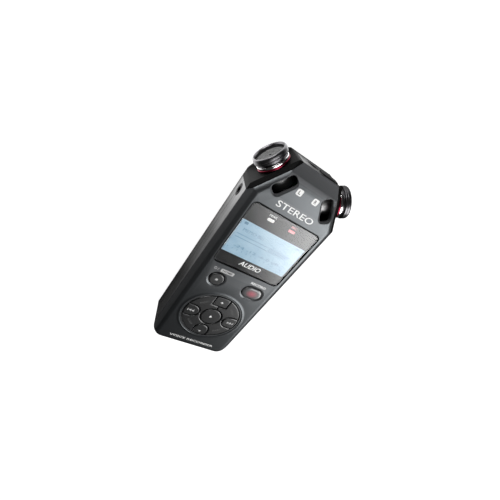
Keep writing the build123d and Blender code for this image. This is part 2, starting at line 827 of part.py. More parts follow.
quarter_keys = {"key_menu": (-1, 1), "key_speed": (1, 1), "key_loop": (-1, -1), "key_mark": (1, -1)}
for name, (x_sign, y_sign) in quarter_keys.items():
    with BuildSketch() as quarter:
        with Locations((x_sign * (pad_r + key_gap / 2), y_sign * (pad_r + key_gap / 2))):
            Rectangle(2 * pad_r, 2 * pad_r)
        Circle(play_r + key_gap, mode=Mode.SUBTRACT)
        add(square_key(key_gap), mode=Mode.SUBTRACT)
        for turn in lobe_keys.values():
            add(lobe(turn, key_gap), mode=Mode.SUBTRACT)
    keycap(quarter.sketch, name)

with BuildPart() as keypad_mat:
    with BuildSketch(Plane.XY.offset(mat_z)):
        with Locations((0, pad_y)):
            Circle(pad_flange_r)
    extrude(amount=mat_top - mat_z)
    with BuildSketch(Plane.XY.offset(mat_z)):
        with Locations(home_at, record_at):
            Circle(post_r)
    extrude(amount=flange_z - button_travel - 2 * split_gap - mat_z)
finish(keypad_mat, "keypad_mat")

with BuildPart() as switch_domes:
    with BuildSketch(Plane.XY.offset(board_top)):
        with Locations((0, pad_y)):
            Circle(dome_r)
            with PolarLocations(dome_ring_r, 8):
                Circle(dome_r)
        with Locations(home_at, record_at):
            Circle(dome_r)
    extrude(amount=dome_height)
finish(switch_domes, "switch_domes")

# ---------------------------------------------------------------- circuit board
with BuildPart() as main_board:
    with BuildSketch(Plane.XY.offset(board_z)):
        with Locations((0, (board_low_y + board_high_y) / 2)):
            RectangleRounded(2 * board_half_x, board_high_y - board_low_y, board_corner_r)
        with Locations(((neck[0] + neck[1]) / 2, (board_high_y - neck_overlap + neck[2]) / 2)):
            Rectangle(neck[1] - neck[0], neck[2] - board_high_y + neck_overlap)
        with Locations(*boss_at):
            Circle(board_hole_r, mode=Mode.SUBTRACT)
    extrude(amount=board_top - board_z)
finish(main_board, "main_board")

with BuildPart() as processor_chip:
    with BuildSketch(Plane.XY.offset(board_top)):
        with Locations(processor_at):
            Rectangle(processor_size[0], processor_size[0])
    extrude(amount=processor_size[1])
finish(processor_chip, "processor_chip")

with BuildPart() as small_chips:
    with BuildSketch(Plane.XY.offset(board_top)):
        with Locations(*small_chip_at):
            Rectangle(small_chip_size[0], small_chip_size[1])
    extrude(amount=small_chip_size[2])
finish(small_chips, "small_chips")

with BuildPart() as capacitors:
    with BuildSketch(Plane.XY.offset(board_z)):
        with Locations(*capacitor_at):
            Circle(capacitor_size[0])
    extrude(amount=-capacitor_size[1])
finish(capacitors, "capacitors")


# ---------------------------------------------------------------- sockets
def phone_socket(mouth, name):
    """A 3.5 mm jack socket: a block under the board and a round ferrule out to the case face."""
    with BuildPart() as socket:
        with BuildSketch(mouth.offset(-ferrule_length - plug_depth + 1)):
            Rectangle(jack_width, jack_height)
        extrude(amount=plug_depth - 1)
        with BuildSketch(mouth.offset(-ferrule_length)):
            Circle(ferrule_r)
        extrude(amount=ferrule_length)
        with BuildSketch(mouth):
            Circle(plug_r)
        extrude(amount=-plug_depth, mode=Mode.SUBTRACT)
    finish(socket, name)


phone_socket(
    Plane(origin=(-half_width, phone_y, phone_z), x_dir=(0, 1, 0), z_dir=(-1, 0, 0)),
    "headphone_jack",
)
phone_socket(
    Plane(origin=(mic_in_x, top_y, mic_in_z), x_dir=(1, 0, 0), z_dir=(0, 1, 0)),
    "mic_jack",
)

with BuildPart() as usb_port:
    mouth_x = half_width - usb_set_back
    with BuildSketch(Plane.YZ.offset(mouth_x)):
        with Locations((usb_y, usb_z)):
            RectangleRounded(usb_size[0], usb_size[1], 2 * usb_shell)
    extrude(amount=-usb_depth)
    with BuildSketch(Plane.YZ.offset(mouth_x)):
        with Locations((usb_y, usb_z)):
            RectangleRounded(usb_size[0] - 2 * usb_shell, usb_size[1] - 2 * usb_shell, usb_shell)
    extrude(amount=4 * usb_shell - usb_depth, mode=Mode.SUBTRACT)
    with BuildSketch(Plane.YZ.offset(mouth_x - 1.0)):
        with Locations((usb_y, usb_z + usb_tongue[2])):
            Rectangle(usb_size[0] - usb_tongue[0], usb_tongue[1])
    extrude(amount=2 * usb_shell + 1.0 - usb_depth)
finish(usb_port, "usb_port")

card_edge = half_width - wall - card_set_back
with BuildPart() as card_socket:
    with BuildSketch(Plane.YZ.offset(card_edge - card_insert)):
        with Locations((card_y, card_z)):
            Rectangle(card_size[1] + card_shell[0], card_size[2] + card_shell[1])
    extrude(amount=-card_size[0])
    with BuildSketch(Plane.YZ.offset(card_edge - card_insert)):
        with Locations((card_y, card_z)):
            Rectangle(card_size[1] + card_shell[2], card_size[2] + card_shell[2])
    extrude(amount=1 - card_size[0], mode=Mode.SUBTRACT)
finish(card_socket, "card_socket")

with BuildPart() as memory_card:
    with BuildSketch(Plane.XY.offset(card_z - card_size[2] / 2)):
        with Locations((card_edge - card_size[0] / 2 - 0.2, card_y)):
            Rectangle(card_size[0] - 0.4, card_size[1])
    extrude(amount=card_size[2])
finish(memory_card, "memory_card")

with BuildPart() as card_door:
    with BuildSketch(Plane.XY.offset(door_low_z)):
        with Locations((half_width - door_thick / 2, (door_low_y + door_high_y) / 2)):
            Rectangle(door_thick, door_high_y - door_low_y)
        with Locations((door_pin_x, door_low_y)):
            Circle(half_width - door_pin_x)
    extrude(amount=door_high_z - door_low_z)
    with BuildSketch(Plane.XY.offset(door_low_z)):
        with Locations((door_pin_x, door_low_y)):
            Circle(door_pin_r + 0.06)
    extrude(amount=door_high_z - door_low_z, mode=Mode.SUBTRACT)
    with BuildSketch(Plane.YZ.offset(half_width)):
        with Locations((door_high_y, (door_low_z + door_high_z) / 2)):
            Circle(door_notch[0])
    extrude(amount=-door_notch[1], mode=Mode.SUBTRACT)
finish(card_door, "card_door")

with BuildPart() as card_door_pin:
    with BuildSketch(Plane.XY.offset(door_low_z - pin_over)):
        with Locations((door_pin_x, door_low_y)):
            Circle(door_pin_r)
    extrude(amount=door_high_z - door_low_z + 2 * pin_over)
finish(card_door_pin, "card_door_pin")

# ---------------------------------------------------------------- speaker and batteries
with BuildPart() as speaker:
    with BuildSketch(Plane.XY.offset(floor + 2 * split_gap)):
        with Locations(speaker_at):
            Circle(speaker_r)
    extrude(amount=speaker_flange)
    with BuildSketch(Plane.XY.offset(floor + 2 * split_gap + speaker_flange)):
        with Locations(speaker_at):
            Circle(speaker_magnet[0])
    extrude(amount=speaker_magnet[1])
    with BuildSketch(Plane.XY.offset(floor + 2 * split_gap)):
        with Locations(speaker_at):
            Circle(speaker_cone[0])
    extrude(amount=speaker_cone[1], taper=speaker_cone[2], mode=Mode.SUBTRACT)
finish(speaker, "speaker")

with BuildPart() as battery_cells:
    for side in (-1, 1):
        with BuildSketch(Plane.XZ.offset(-cell_low_y - cell_button[1] * (side < 0))):
            with Locations((side * cell_x, cell_z)):
                Circle(cell_r)
        extrude(amount=cell_button[1] - cell_length)
        with BuildSketch(Plane.XZ.offset(-cell_low_y)):
            with Locations((side * cell_x, cell_z)):
                Circle(cell_button[0])
        extrude(amount=-cell_length)
finish(battery_cells, "battery_cells")

end_plate_y = cell_low_y - spring_length - contact_thick
with BuildPart() as battery_contacts:
    with BuildSketch(Plane.XZ.offset(-cell_low_y - cell_length - split_gap)):
        with Locations((-cell_x, cell_z), (cell_x, cell_z)):
            Rectangle(*contact_size)
    extrude(amount=-contact_thick)
    with BuildSketch(Plane.XZ.offset(-end_plate_y)):
        with Locations((0, cell_z)):
            Rectangle(2 * cell_x + contact_size[0], contact_size[1])
    extrude(amount=-contact_thick)
    with BuildSketch(Plane.XZ.offset(-end_plate_y)):
        with Locations((-cell_x, cell_z)):
            Rectangle(contact_size[1] / 2, contact_size[1] / 2)
    extrude(amount=-spring_length - contact_thick + split_gap)
finish(battery_contacts, "battery_contacts")

with BuildPart() as battery_spring:
    coil_start = (cell_x, end_plate_y + contact_thick + spring_wire + split_gap, cell_z)
    coil_height = spring_length - 2 * spring_wire - 2 * split_gap
    with BuildLine():
        coil = Helix(spring_pitch, coil_height, spring_r, coil_start, (0, 1, 0))
    with BuildSketch(Plane(origin=coil @ 0, z_dir=coil % 0)):
        Circle(spring_wire)
    sweep(path=coil, is_frenet=True)
finish(battery_spring, "battery_spring")

with BuildPart() as battery_tray:
    with BuildSketch(Plane.XY.offset(tray_z + split_gap)):
        with Locations((0, bay_mid_y)):
            Rectangle(2 * (rib_x + rib_thick), bay_span)
    extrude(amount=tray_thick)
finish(battery_tray, "battery_tray")

# ---------------------------------------------------------------- fixings
with BuildPart() as tripod_insert:
    with BuildSketch():
        with Locations(tripod_at):
            Circle(tripod_r)
    extrude(amount=tripod_depth)
    with BuildSketch():
        with Locations(tripod_at):
            Circle(tripod_bore_r)
    extrude(amount=tripod_depth - 1.0, mode=Mode.SUBTRACT)
finish(tripod_insert, "tripod_insert")

with BuildPart() as case_screws:
    with BuildSketch(Plane.XY.offset(screw_head_z)):
        with Locations(*boss_at):
            Circle(screw_head_r)
    extrude(amount=screw_head_top - screw_head_z)
    with BuildSketch(Plane.XY.offset(screw_head_top)):
        with Locations(*boss_at):
            Circle(screw_r)
    extrude(amount=screw_length)
    with BuildSketch(Plane.XY.offset(screw_head_z)):
        with Locations(*boss_at):
            Rectangle(screw_cross[0], screw_cross[1])
            Rectangle(screw_cross[1], screw_cross[0])
    extrude(amount=screw_cross[2], mode=Mode.SUBTRACT)
finish(case_screws, "case_screws")

with BuildPart() as board_screws:
    head_top = board_top + board_screw_head[1]
    with BuildSketch(Plane.XY.offset(board_top)):
        with Locations(*boss_at):
            Circle(board_screw_head[0])
    extrude(amount=board_screw_head[1])
    with BuildSketch(Plane.XY.offset(board_top)):
        with Locations(*boss_at):
            Circle(board_screw_r)
    extrude(amount=-board_screw_length)
    with BuildSketch(Plane.XY.offset(head_top)):
        with Locations(*boss_at):
            Rectangle(board_screw_cross[0], board_screw_cross[1])
            Rectangle(board_screw_cross[1], board_screw_cross[0])
    extrude(amount=-board_screw_cross[2], mode=Mode.SUBTRACT)
finish(board_screws, "board_screws")
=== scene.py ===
import math

import bmesh
import bpy
from mathutils import Matrix, Vector


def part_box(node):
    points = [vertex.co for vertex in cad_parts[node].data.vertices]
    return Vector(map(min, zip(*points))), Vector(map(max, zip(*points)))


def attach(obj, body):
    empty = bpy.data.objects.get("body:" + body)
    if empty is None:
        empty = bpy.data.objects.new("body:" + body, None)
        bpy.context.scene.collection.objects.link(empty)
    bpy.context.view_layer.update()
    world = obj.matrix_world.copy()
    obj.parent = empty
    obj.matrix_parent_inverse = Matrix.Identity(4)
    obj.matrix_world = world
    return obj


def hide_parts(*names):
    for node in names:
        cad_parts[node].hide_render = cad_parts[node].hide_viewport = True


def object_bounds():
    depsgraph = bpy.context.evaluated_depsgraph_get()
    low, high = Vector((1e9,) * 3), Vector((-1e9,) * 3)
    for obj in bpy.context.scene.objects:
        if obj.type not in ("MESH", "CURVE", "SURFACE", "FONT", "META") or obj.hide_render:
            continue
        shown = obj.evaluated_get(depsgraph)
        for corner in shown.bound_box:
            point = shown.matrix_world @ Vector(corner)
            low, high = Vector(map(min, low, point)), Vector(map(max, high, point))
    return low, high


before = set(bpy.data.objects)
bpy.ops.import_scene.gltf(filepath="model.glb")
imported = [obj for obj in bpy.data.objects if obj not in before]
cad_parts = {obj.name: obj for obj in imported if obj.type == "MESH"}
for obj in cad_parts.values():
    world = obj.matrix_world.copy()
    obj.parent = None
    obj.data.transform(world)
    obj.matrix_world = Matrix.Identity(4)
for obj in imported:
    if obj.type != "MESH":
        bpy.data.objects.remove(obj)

cad_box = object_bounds()
MM = 0.001
UP = Vector((0, 0, 1))
HANDS = {"left": -1, "right": 1}
KEYS = ["key_up", "key_down", "key_back", "key_forward", "key_play",
        "key_menu", "key_speed", "key_loop", "key_mark"]
# The colour sockets of a Mix node, which share their names with its number sockets.
MIX_A, MIX_B, MIX_RESULT = 6, 7, 2


# ------------------------------------------------------------------ node helpers
def new_material(name):
    """An empty node material and its Principled shader."""
    material = bpy.data.materials.new(name)
    material.use_nodes = True
    return material, material.node_tree.nodes["Principled BSDF"]


def add_node(material, kind, **inputs):
    """A shader node with some of its sockets set by name."""
    node = material.node_tree.nodes.new(kind)
    for socket, value in inputs.items():
        node.inputs[socket.replace("_", " ")].default_value = value
    return node


def link(material, source, target):
    """Joins an output socket to an input socket."""
    material.node_tree.links.new(source, target)


def object_noise(material, scale, detail=3.0, rough=0.55):
    """Noise fixed to the object, at a scale in waves per metre."""
    place = add_node(material, "ShaderNodeTexCoord")
    noise = add_node(material, "ShaderNodeTexNoise", Scale=scale, Detail=detail, Roughness=rough)
    link(material, place.outputs["Object"], noise.inputs["Vector"])
    return noise


def ramp(material, source, low, high, start=0.35, end=0.65):
    """A colour ramp from low to high over part of a factor."""
    node = add_node(material, "ShaderNodeValToRGB")
    node.color_ramp.elements[0].position = start
    node.color_ramp.elements[0].color = (*low, 1)
    node.color_ramp.elements[1].position = end
    node.color_ramp.elements[1].color = (*high, 1)
    link(material, source, node.inputs["Fac"])
    return node


def spread(material, source, low, high):
    """A factor moved to the range low to high."""
    node = add_node(material, "ShaderNodeMapRange")
    node.inputs["From Min"].default_value = 0.3
    node.inputs["From Max"].default_value = 0.7
    node.inputs["To Min"].default_value = low
    node.inputs["To Max"].default_value = high
    link(material, source, node.inputs["Value"])
    return node


WORN_GREY = (0.30, 0.30, 0.31)


def moulded(name, colour, rough, grain_scale, grain_depth, mottle=0.12, worn=0.0, **shader):
    """Moulded plastic or rubber: a fine eroded grain, slight mottling and paler worn edges."""
    material, base = new_material(name)
    for socket, value in shader.items():
        base.inputs[socket.replace("_", " ")].default_value = value
    broad = object_noise(material, 60, 4)
    low = tuple(c * (1 - mottle) for c in colour)
    high = tuple(c * (1 + mottle) for c in colour)
    tint = ramp(material, broad.outputs["Fac"], low, high)
    surface = tint.outputs["Color"]
    if worn:
        shape = add_node(material, "ShaderNodeNewGeometry")
        edge = ramp(material, shape.outputs["Pointiness"], (0, 0, 0), (worn,) * 3, 0.52, 0.6)
        mix = add_node(material, "ShaderNodeMix")
        mix.data_type = "RGBA"
        link(material, edge.outputs["Color"], mix.inputs["Factor"])
        link(material, surface, mix.inputs[MIX_A])
        mix.inputs[MIX_B].default_value = (*WORN_GREY, 1)
        surface = mix.outputs[MIX_RESULT]
    link(material, surface, base.inputs["Base Color"])
    fine = object_noise(material, grain_scale, 2, 0.6)
    gloss = spread(material, fine.outputs["Fac"], rough - 0.04, rough + 0.05)
    link(material, gloss.outputs["Result"], base.inputs["Roughness"])
    bump = add_node(material, "ShaderNodeBump", Strength=0.5, Distance=grain_depth)
    link(material, fine.outputs["Fac"], bump.inputs["Height"])
    link(material, bump.outputs["Normal"], base.inputs["Normal"])
    return material


def metal(name, colour, rough, brushed=0.0, stretch=(1, 1, 40), scale=900, **shader):
    """Metal with a turned or brushed finish and faint smudges in its gloss."""
    material, base = new_material(name)
    base.inputs["Metallic"].default_value = 1.0
    for socket, value in shader.items():
        base.inputs[socket.replace("_", " ")].default_value = value
    place = add_node(material, "ShaderNodeTexCoord")
    move = add_node(material, "ShaderNodeMapping")
    move.inputs["Scale"].default_value = stretch
    lines = add_node(material, "ShaderNodeTexNoise", Scale=scale, Detail=2.0)
    link(material, place.outputs["Object"], move.inputs["Vector"])
    link(material, move.outputs["Vector"], lines.inputs["Vector"])
    smudge = object_noise(material, 220, 4)
    tint = ramp(material, smudge.outputs["Fac"], tuple(c * 0.9 for c in colour), colour)
    link(material, tint.outputs["Color"], base.inputs["Base Color"])
    gloss = spread(material, smudge.outputs["Fac"], rough, rough + 0.08)
    link(material, gloss.outputs["Result"], base.inputs["Roughness"])
    bump = add_node(material, "ShaderNodeBump", Strength=brushed, Distance=0.00002)
    link(material, lines.outputs["Fac"], bump.inputs["Height"])
    link(material, bump.outputs["Normal"], base.inputs["Normal"])
    return material


def printed(name, colour, rough=0.45, glow=0.0):
    """Screen-printed ink: a slightly uneven solid colour."""
    material, base = new_material(name)
    fine = object_noise(material, 1500, 2)
    tint = ramp(material, fine.outputs["Fac"], tuple(c * 0.9 for c in colour), colour)
    link(material, tint.outputs["Color"], base.inputs["Base Color"])
    base.inputs["Roughness"].default_value = rough
    if glow:
        base.inputs["Emission Color"].default_value = (*colour, 1)
        base.inputs["Emission Strength"].default_value = glow
    return material


def clear(name, colour, rough=0.02):
    """Clear moulded acrylic."""
    material, base = new_material(name)
    base.inputs["Base Color"].default_value = (*colour, 1)
    base.inputs["Transmission Weight"].default_value = 1.0
    base.inputs["IOR"].default_value = 1.49
    haze = object_noise(material, 300, 3)
    gloss = spread(material, haze.outputs["Fac"], rough, rough + 0.02)
    link(material, gloss.outputs["Result"], base.inputs["Roughness"])
    return material


LCD_DOT = 0.32 * MM


def lcd_material():
    """Backlit display glass: pale blue with a faintly uneven tone and a faint grid of dots."""
    material, base = new_material("lcd_blue")
    place = add_node(material, "ShaderNodeTexCoord")
    axes = add_node(material, "ShaderNodeSeparateXYZ")
    link(material, place.outputs["Object"], axes.inputs["Vector"])
    grid = None
    for axis in ("X", "Y"):
        wave = add_node(material, "ShaderNodeMath")
        wave.operation = "MULTIPLY"
        wave.inputs[1].default_value = math.tau / LCD_DOT
        link(material, axes.outputs[axis], wave.inputs[0])
        sine = add_node(material, "ShaderNodeMath")
        sine.operation = "COSINE"
        link(material, wave.outputs[0], sine.inputs[0])
        if grid:
            both = add_node(material, "ShaderNodeMath")
            both.operation = "MAXIMUM"
            link(material, grid.outputs[0], both.inputs[0])
            link(material, sine.outputs[0], both.inputs[1])
            grid = both
        else:
            grid = sine
    cloud = object_noise(material, 160, 3)
    tone = ramp(material, cloud.outputs["Fac"], (0.37, 0.57, 0.73), (0.47, 0.66, 0.80))
    dots = ramp(material, grid.outputs[0], (1, 1, 1), (0.93, 0.95, 0.97), 0.75, 1.0)
    mix = add_node(material, "ShaderNodeMix")
    mix.data_type = "RGBA"
    mix.blend_type = "MULTIPLY"
    mix.inputs["Factor"].default_value = 1.0
    link(material, tone.outputs["Color"], mix.inputs[MIX_A])
    link(material, dots.outputs["Color"], mix.inputs[MIX_B])
    base.inputs["Base Color"].default_value = (0.05, 0.07, 0.08, 1)
    link(material, mix.outputs[MIX_RESULT], base.inputs["Emission Color"])
    base.inputs["Emission Strength"].default_value = 0.80
    base.inputs["Roughness"].default_value = 0.5
    return material


# Half the width and height of the red glow in the record button.
GLOW_W, GLOW_H = 4.4 * MM, 3.4 * MM


def record_material(centre):
    """The record button: dark grey cap with a red glow that fades out from its middle."""
    material, base = new_material("record_cap")
    place = add_node(material, "ShaderNodeTexCoord")
    move = add_node(material, "ShaderNodeMapping")
    move.vector_type = "POINT"
    move.inputs["Location"].default_value = (-centre.x, -centre.y, 0)
    flat = add_node(material, "ShaderNodeVectorMath")
    flat.operation = "MULTIPLY"
    flat.inputs[1].default_value = (1 / GLOW_W, 1 / GLOW_H, 0)
    far = add_node(material, "ShaderNodeVectorMath")
    far.operation = "LENGTH"
    link(material, place.outputs["Object"], move.inputs["Vector"])
    link(material, move.outputs["Vector"], flat.inputs[0])
    link(material, flat.outputs[0], far.inputs[0])
    tint = ramp(material, far.outputs["Value"], (0.36, 0.075, 0.10), (0.08, 0.08, 0.082), 0.15, 0.95)
    link(material, tint.outputs["Color"], base.inputs["Base Color"])
    base.inputs["Coat Weight"].default_value = 0.6
    base.inputs["Coat Roughness"].default_value = 0.08
    fine = object_noise(material, 2500, 2)
    gloss = spread(material, fine.outputs["Fac"], 0.22, 0.3)
    link(material, gloss.outputs["Result"], base.inputs["Roughness"])
    return material


M = {
    "cover": moulded("cover_charcoal", (0.0050, 0.0056, 0.0062), 0.38, 5200, 0.000012, worn=0.25,
                     Specular_IOR_Level=0.85, Specular_Tint=(0.90, 0.96, 1.0, 1)),
    "case": moulded("case_black", (0.005, 0.005, 0.0052), 0.30, 4200, 0.000014, worn=0.2),
    "hatch": moulded("hatch_black", (0.007, 0.007, 0.007), 0.42, 3600, 0.00002, worn=0.2),
    "mount": moulded("mount_black", (0.002, 0.002, 0.002), 0.6, 3000, 0.00002,
                     Specular_IOR_Level=0.06),
    "rubber": moulded("rubber_black", (0.003, 0.003, 0.003), 0.6, 2600, 0.00002,
                      Specular_IOR_Level=0.25),
    "key": moulded("key_grey", (0.0052, 0.0056, 0.0060), 0.36, 5200, 0.00001, worn=0.3,
                   Specular_IOR_Level=0.95),
    "socket": moulded("socket_black", (0.002, 0.002, 0.002), 0.55, 3000, 0.00001,
                      Specular_IOR_Level=0.08),
    "frame": moulded("frame_black", (0.01, 0.01, 0.01), 0.5, 3000, 0.00001),
    "board": moulded("board_green", (0.01, 0.09, 0.03), 0.3, 1800, 0.00002, 0.3),
    "chip": moulded("chip_black", (0.015, 0.015, 0.016), 0.5, 3000, 0.00001),
    "card": moulded("card_black", (0.012, 0.012, 0.013), 0.35, 3000, 0.00001),
    "cone": moulded("cone_paper", (0.03, 0.03, 0.03), 0.8, 2500, 0.00004),
    "mat": moulded("mat_rubber", (0.004, 0.004, 0.004), 0.7, 2600, 0.00002),
    "film": moulded("ribbon_amber", (0.35, 0.14, 0.02), 0.3, 1600, 0.00001),
    "hood": metal("hood_gunmetal", (0.115, 0.112, 0.118), 0.28, 0.35),
    "silver": metal("ring_silver", (0.78, 0.77, 0.77), 0.14, 0.3),
    "barrel": metal("barrel_silver", (0.62, 0.62, 0.62), 0.55, 0.25),
    "red": metal("ring_crimson", (0.17, 0.014, 0.03), 0.25, 0.2),
    "mesh": metal("mesh_wire", (0.095, 0.095, 0.095), 0.35, 0.2),
    "steel": metal("steel_plate", (0.62, 0.61, 0.60), 0.28, 0.4),
    "brass": metal("brass_turned", (0.72, 0.50, 0.22), 0.25, 0.4),
    "screw": metal("screw_black", (0.10, 0.10, 0.11), 0.3, 0.3),
    "cell": metal("cell_jacket", (0.10, 0.11, 0.14), 0.3, 0.1),
    "white": printed("ink_white", (0.86, 0.86, 0.85)),
    "soft_white": printed("ink_grey", (0.50, 0.50, 0.50)),
    "dim_ink": printed("ink_dim", (0.10, 0.10, 0.10)),
    "peak": printed("peak_lamp", (0.95, 0.93, 0.90), 0.3, 0.5),
    "rec": printed("rec_lamp", (0.80, 0.30, 0.32), 0.3, 0.5),
    # White ink under the pane glows a little: painted light that makes up for the light the pane holds
    # back.
    "pane_ink_painted_glow": printed("pane_ink_painted_glow", (0.86, 0.86, 0.85), 0.4, 0.6),
    "pane_print": printed("pane_print", (0.004, 0.004, 0.0045), 0.3),
    "lcd_ink": printed("lcd_ink", (0.10, 0.20, 0.30), 0.5, 0.6),
    "light": printed("backlight_white", (0.8, 0.85, 0.9), 0.4),
    "pane": clear("pane_clear", (0.97, 0.98, 0.98)),
    "guide": clear("guide_clear", (0.95, 0.95, 0.95), 0.1),
    "lcd": lcd_material(),
}

# ------------------------------------------------------------------ CAD nodes that stay
FINISH = {
    "front_cover": ("cover", None), "upper_case": ("case", 0.25), "lower_case": ("case", 0.25),
    "battery_cover": ("hatch", 0.15), "card_door": ("case", 0.15),
    "mic_mount_left": ("mount", 0.2), "mic_mount_right": ("mount", 0.2),
    "mic_capsule_left": ("barrel", 0), "mic_capsule_right": ("barrel", 0),
    "display_window": ("pane", 0), "lcd_panel": ("lcd", 0), "lcd_backlight": ("light", 0),
    "lcd_frame": ("frame", 0), "lcd_ribbon": ("film", 0), "light_guides": ("guide", 0),
    "indicator_lamps": ("light", 0), "home_button": ("key", 0.2), "keypad_mat": ("mat", 0),
    "switch_domes": ("steel", 0), "main_board": ("board", 0), "processor_chip": ("chip", 0),
    "small_chips": ("chip", 0), "capacitors": ("steel", 0), "headphone_jack": ("socket", 0.15),
    "mic_jack": ("socket", 0.15), "usb_port": ("steel", 0), "card_socket": ("steel", 0),
    "memory_card": ("card", 0), "card_door_pin": ("steel", 0), "speaker": ("cone", 0),
    "battery_cells": ("cell", 0), "battery_contacts": ("steel", 0), "battery_spring": ("steel", 0),
    "battery_tray": ("frame", 0), "tripod_insert": ("brass", 0), "case_screws": ("screw", 0.08),
    "board_screws": ("screw", 0),
}
FINISH.update({key: ("key", 0.25) for key in KEYS})


def soften(node, radius):
    """Rounds a CAD node's edges for display: weld, small bevels, smooth shading.

    Without a radius each CAD face keeps its own shading.
    """
    for polygon in node.data.polygons:
        polygon.use_smooth = True
    if radius is None:
        return
    weld = node.modifiers.new("weld", "WELD")
    weld.merge_threshold = 0.002 * MM
    if radius:
        merge = node.modifiers.new("merge", "DECIMATE")
        merge.decimate_type = "DISSOLVE"
        merge.angle_limit = math.radians(0.1)
        bevel = node.modifiers.new("round", "BEVEL")
        bevel.width = radius * MM
        bevel.segments = 3
        bevel.limit_method = "ANGLE"
        bevel.angle_limit = math.radians(32)
        bevel.harden_normals = False
    split = node.modifiers.new("split", "EDGE_SPLIT")
    split.split_angle = math.radians(36)
    normals = node.modifiers.new("normals", "WEIGHTED_NORMAL")
    normals.keep_sharp = True


for name, (finish, radius) in FINISH.items():
    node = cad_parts[name]
    node.data.materials.clear()
    node.data.materials.append(M[finish])
    soften(node, radius)


# ------------------------------------------------------------------ mesh helpers
def piece_from(bm, name, material, body, smooth_angle=35):
    """Turns a bmesh into a shown piece on a CAD body."""
    bmesh.ops.recalc_face_normals(bm, faces=bm.faces)
    mesh = bpy.data.meshes.new(name)
    bm.to_mesh(mesh)
    bm.free()
    piece = bpy.data.objects.new(name, mesh)
    bpy.context.scene.collection.objects.link(piece)
    mesh.materials.append(M[material] if isinstance(material, str) else material)
    for polygon in mesh.polygons:
        polygon.use_smooth = True
    mesh.set_sharp_from_angle(angle=math.radians(smooth_angle))
    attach(piece, body)
    return piece


def join(bm, a, b):
    """Adds the faces between two closed rings of the same number of vertices."""
    for i in range(len(a)):
        j = (i + 1) % len(a)
        bm.faces.new((a[i], a[j], b[j], b[i]))


def prism(bm, points, low, high):
    """Adds a closed upright prism over a plan outline; all lengths in millimetres."""
    bottom = [bm.verts.new((x * MM, y * MM, low * MM)) for x, y in points]
    top = [bm.verts.new((x * MM, y * MM, high * MM)) for x, y in points]
    bm.faces.new(top)
    bm.faces.new(list(reversed(bottom)))
    join(bm, bottom, top)


def loft(bm, rings):
    """Adds a closed solid through a stack of rings."""
    for a, b in zip(rings, rings[1:]):
        join(bm, a, b)
    bm.faces.new(rings[-1])
    bm.faces.new(list(reversed(rings[0])))


def rounded(cx, cy, width, height, radius, steps=6):
    """Corner-rounded rectangle outline."""
    points = []
    for quarter, (sx, sy) in enumerate([(1, 1), (-1, 1), (-1, -1), (1, -1)]):
        for step in range(steps + 1):
            turn = math.radians(90 * quarter + 90 * step / steps)
            points.append((
                cx + sx * (width / 2 - radius) + radius * math.cos(turn),
                cy + sy * (height / 2 - radius) + radius * math.sin(turn),
            ))
    return points


def circle(cx, cy, radius, steps=32):
    """Round outline."""
    turns = [math.tau * step / steps for step in range(steps)]
    return [(cx + radius * math.cos(turn), cy + radius * math.sin(turn)) for turn in turns]


def bar(x, y, width, height):
    """Plain rectangle outline from its lower left corner."""
    return [(x, y), (x + width, y), (x + width, y + height), (x, y + height)]


def band(bm, outer, inner, low, high):
    """Adds a flat ring between two outlines of the same number of points."""
    rings = []
    for outline, z in ((outer, low), (outer, high), (inner, high), (inner, low)):
        rings.append([bm.verts.new((x * MM, y * MM, z * MM)) for x, y in outline])
    for a, b in zip(rings, rings[1:] + rings[:1]):
        join(bm, a, b)


def lathe(bm, origin, axis, profile, steps=96):
    """Adds a ring turned about a level axis from closed (radius, distance) points in millimetres."""
    axis = Vector(axis).normalized()
    other = axis.cross(UP)
    rings = []
    for step in range(steps):
        turn = math.tau * step / steps
        radial = UP * math.cos(turn) + other * math.sin(turn)
        rings.append([bm.verts.new(origin + (radial * r + axis * s) * MM) for r, s in profile])
    for i in range(steps):
        a, b = rings[i], rings[(i + 1) % steps]
        for j in range(len(profile)):
            k = (j + 1) % len(profile)
            bm.faces.new((a[j], b[j], b[k], a[k]))


def eased(profile, radius, steps=3):
    """The same closed profile with every corner replaced by a small arc."""
    out = []
    count = len(profile)
    for i in range(count):
        here = Vector(profile[i])
        before = Vector(profile[i - 1]) - here
        after = Vector(profile[(i + 1) % count]) - here
        reach = min(radius, before.length * 0.45, after.length * 0.45)
        start = here + before.normalized() * reach
        end = here + after.normalized() * reach
        for step in range(steps + 1):
            t = step / steps
            point = start * (1 - t) ** 2 + here * 2 * t * (1 - t) + end * t ** 2
            out.append((point.x, point.y))
    return out


def turned(name, origin, axis, profile, ease, material, steps=96):
    """A piece of the case turned about a level axis, its corners eased by a small radius in mm."""
    bm = bmesh.new()
    lathe(bm, origin, axis, eased(profile, ease) if ease else profile, steps)
    return piece_from(bm, name, material, "case")


